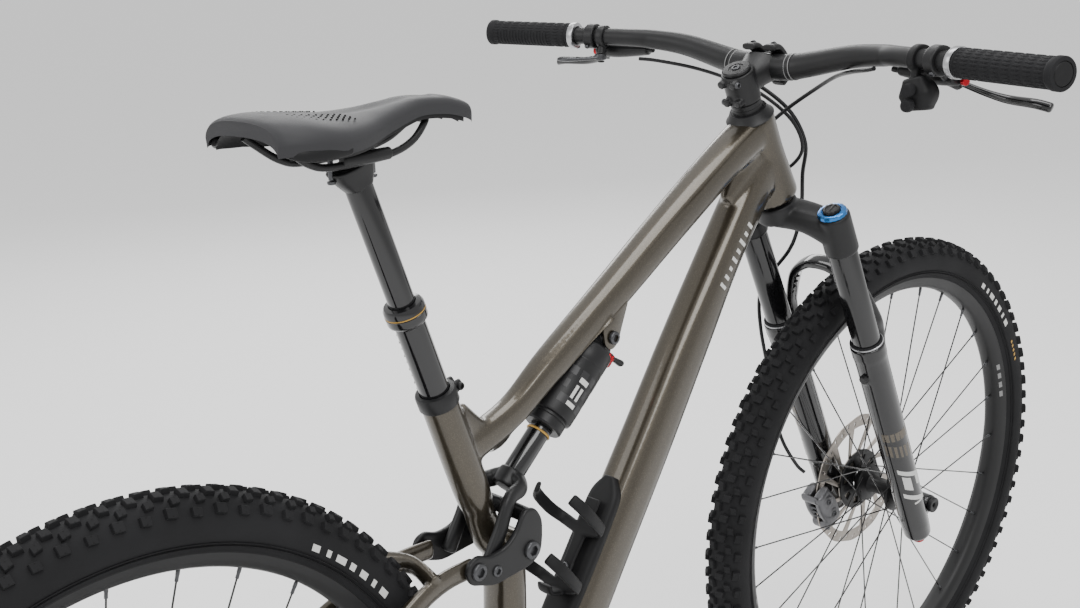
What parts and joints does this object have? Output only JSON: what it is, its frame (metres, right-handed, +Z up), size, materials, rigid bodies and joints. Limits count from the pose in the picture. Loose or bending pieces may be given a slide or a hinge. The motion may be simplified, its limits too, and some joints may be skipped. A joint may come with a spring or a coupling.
{
  "type": "full-suspension mountain bike",
  "caption": "Full-suspension trail mountain bike with telescopic fork, rear shock linkage, dropper seat post, disc brakes, knobbly tyres and single-ring drivetrain.",
  "frame": {"origin": "on the ground, midway between the ends of the two tyres, in the frame's centre plane", "axes": "+X forward, +Y to the rider's left, +Z up"},
  "size_m": [1.9561, 0.8155, 1.0674],
  "materials": {
    "paint": "metallic satin",
    "satin_black": "satin",
    "gloss_black": "gloss",
    "grey_alloy": "satin anodised",
    "rubber": "matte",
    "grip_rubber": "matte",
    "steel": "ground",
    "hose": "satin",
    "blue": "anodised",
    "saddle_skin": "matte",
    "black_plastic": "satin",
    "carbon": "satin composite"
  },
  "bodies": {
    "frame": {"head_tube": "paint", "top_tube": "paint", "down_tube": "paint", "seat_tube": "paint", "storage_door": "black_plastic", "bottle_cage": "black_plastic", "seat_collar": "satin_black", "dropper_outer": "satin_black"},
    "steering": {"fork_crown": "gloss_black", "headset_cover": "satin_black", "stem": "satin_black", "stem_faceplate": "satin_black", "top_cap": "satin_black", "handlebar": "carbon", "grip_left": "grip_rubber", "grip_right": "grip_rubber", "brake_body_left": "satin_black", "brake_body_right": "satin_black", "shifter_pod": "black_plastic", "rear_brake_hose": "hose", "front_brake_hose": "hose", "dropper_cable": "hose"},
    "brake_lever_left_body": {"brake_lever_left": "grey_alloy"},
    "brake_lever_right_body": {"brake_lever_right": "grey_alloy"},
    "dropper_lever_body": {"dropper_lever": "grey_alloy"},
    "shift_button_up_body": {"shift_button_up": "grey_alloy"},
    "shift_button_down_body": {"shift_button_down": "grey_alloy"},
    "compression_dial_body": {"compression_dial": "blue"},
    "fork_slider": {"fork_lowers": "satin_black", "front_axle": "grey_alloy", "front_caliper": "grey_alloy"},
    "rebound_knob_body": {"rebound_knob": "grey_alloy"},
    "front_wheel": {"front_tyre": "rubber", "front_rim": "carbon", "front_hub": "satin_black", "front_rotor": "steel"},
    "chainstay_body": {"chainstay": "paint", "chain": "steel"},
    "seatstay_body": {"seatstay": "paint", "rear_axle": "grey_alloy", "rear_caliper": "grey_alloy", "derailleur_body": "satin_black"},
    "derailleur_cage_body": {"derailleur_cage": "grey_alloy"},
    "rear_wheel": {"rear_tyre": "rubber", "rear_rim": "carbon", "rear_hub": "satin_black", "rear_rotor": "steel"},
    "cassette_body": {"cassette": "grey_alloy"},
    "cranks": {"crank_right": "satin_black", "crank_left": "satin_black", "chainring": "grey_alloy"},
    "pedal_right_body": {"pedal_right": "satin_black"},
    "pedal_left_body": {"pedal_left": "satin_black"},
    "rocker": {"rocker_link": "satin_black"},
    "shock": {"shock_body": "satin_black"},
    "shock_lever_body": {"shock_lever": "satin_black"},
    "shock_shaft": {"shock_yoke": "gloss_black"},
    "saddle_body": {"dropper_post": "gloss_black", "saddle": "saddle_skin", "saddle_rails": "satin_black"}
  },
  "joints": [
    {"name": "steering_turn", "type": "hinge", "parent": "frame", "child": "steering", "pos_m": [0.278, 0, 0.9539], "axis": [-0.4337, 0, 0.9011], "range_deg": [-46.6, 53.4], "deforming": ["rear_brake_hose", "dropper_cable"]},
    {"name": "fork_travel", "type": "slide", "parent": "steering", "child": "fork_slider", "axis": [-0.4337, 0, 0.9011], "range_m": [0, 0.14], "stiffness_N_per_m": 6000, "deforming": ["front_brake_hose"]},
    {"name": "front_wheel_spin", "type": "hinge", "parent": "fork_slider", "child": "front_wheel", "pos_m": [0.60683, -0.00261, 0.37193], "axis": [0.0534, 0.9982, 0.0257], "continuous": true},
    {"name": "rebound_knob_turn", "type": "hinge", "parent": "fork_slider", "child": "rebound_knob_body", "pos_m": [0.59844, -0.06986, 0.31684], "axis": [0.4337, 0, -0.9011], "range_deg": [0, 330]},
    {"name": "compression_dial_turn", "type": "hinge", "parent": "steering", "child": "compression_dial_body", "pos_m": [0.34866, -0.06986, 0.83586], "axis": [-0.4337, 0, 0.9011], "range_deg": [0, 120]},
    {"name": "brake_lever_left_pull", "type": "hinge", "parent": "steering", "child": "brake_lever_left_body", "pos_m": [0.31034, 0.25464, 1.01951], "axis": [0.4682, -0.0478, 0.8823], "range_deg": [0, 20], "stiffness_Nm_per_rad": 1.5},
    {"name": "brake_lever_right_pull", "type": "hinge", "parent": "steering", "child": "brake_lever_right_body", "pos_m": [0.28281, -0.25967, 1.00626], "axis": [-0.4682, 0.0478, -0.8823], "range_deg": [0, 20], "stiffness_Nm_per_rad": 1.5},
    {"name": "dropper_lever_push", "type": "hinge", "parent": "steering", "child": "dropper_lever_body", "pos_m": [0.27518, 0.23532, 1.01878], "axis": [0.0007, 0.0257, -0.9997], "range_deg": [0, 22], "stiffness_Nm_per_rad": 0.6},
    {"name": "shift_button_up_press", "type": "slide", "parent": "steering", "child": "shift_button_up_body", "axis": [0.9986, -0.0534, -0.0007], "range_m": [0, 0.0025], "stiffness_N_per_m": 400},
    {"name": "shift_button_down_press", "type": "slide", "parent": "steering", "child": "shift_button_down_body", "axis": [0.9986, -0.0534, -0.0007], "range_m": [0, 0.0025], "stiffness_N_per_m": 400},
    {"name": "rear_suspension", "type": "hinge", "parent": "frame", "child": "chainstay_body", "pos_m": [-0.182, 0, 0.376], "axis": [0, 1, 0], "range_deg": [0, 19], "stiffness_Nm_per_rad": 900, "deforming": ["chain"]},
    {"name": "seatstay_pivot", "type": "hinge", "parent": "chainstay_body", "child": "seatstay_body", "pos_m": [-0.569, 0, 0.346], "axis": [0, 1, 0], "range_deg": [-9.04, 0]},
    {"name": "rocker_turn", "type": "hinge", "parent": "frame", "child": "rocker", "pos_m": [-0.156, 0, 0.556], "axis": [0, 1, 0], "range_deg": [0, 63.2]},
    {"name": "shock_swing", "type": "hinge", "parent": "frame", "child": "shock", "pos_m": [0.004, 0, 0.745], "axis": [0, 1, 0], "range_deg": [0, 5.29]},
    {"name": "shock_stroke", "type": "slide", "parent": "shock", "child": "shock_shaft", "axis": [0.7581, 0, 0.6521], "range_m": [0, 0.04808]},
    {"name": "shock_lever_turn", "type": "hinge", "parent": "shock", "child": "shock_lever_body", "pos_m": [0.01295, 0, 0.71313], "axis": [0.7581, 0, 0.6521], "range_deg": [0, 60]},
    {"name": "rear_wheel_spin", "type": "hinge", "parent": "seatstay_body", "child": "rear_wheel", "pos_m": [-0.60784, 0, 0.371], "axis": [0, 1, 0], "continuous": true},
    {"name": "cassette_spin", "type": "hinge", "parent": "seatstay_body", "child": "cassette_body", "pos_m": [-0.60784, 0, 0.371], "axis": [0, 1, 0], "continuous": true},
    {"name": "derailleur_cage_swing", "type": "hinge", "parent": "seatstay_body", "child": "derailleur_cage_body", "pos_m": [-0.611, 0, 0.268], "axis": [0, 1, 0], "range_deg": [-30, 25], "stiffness_Nm_per_rad": 1, "deforming": ["chain"]},
    {"name": "crank_spin", "type": "hinge", "parent": "frame", "child": "cranks", "pos_m": [-0.174, 0, 0.333], "axis": [0, 1, 0], "continuous": true},
    {"name": "pedal_right_spin", "type": "hinge", "parent": "cranks", "child": "pedal_right_body", "pos_m": [-0.004, 0, 0.333], "axis": [0, 1, 0], "continuous": true},
    {"name": "pedal_left_spin", "type": "hinge", "parent": "cranks", "child": "pedal_left_body", "pos_m": [-0.344, 0, 0.333], "axis": [0, 1, 0], "continuous": true},
    {"name": "dropper_slide", "type": "slide", "parent": "frame", "child": "saddle_body", "axis": [0.342, 0, -0.9397], "range_m": [0, 0.125]}
  ],
  "couplings": [
    {"joint": "seatstay_pivot", "follows": "rear_suspension", "ratio": -0.47466},
    {"joint": "rocker_turn", "follows": "rear_suspension", "ratio": 3.325},
    {"joint": "shock_swing", "follows": "rear_suspension", "ratio": 0.27714},
    {"joint": "shock_stroke", "follows": "rear_suspension", "m_per_rad": 0.14468},
    {"joint": "cassette_spin", "follows": "crank_spin", "ratio": 1.3333}
  ]
}
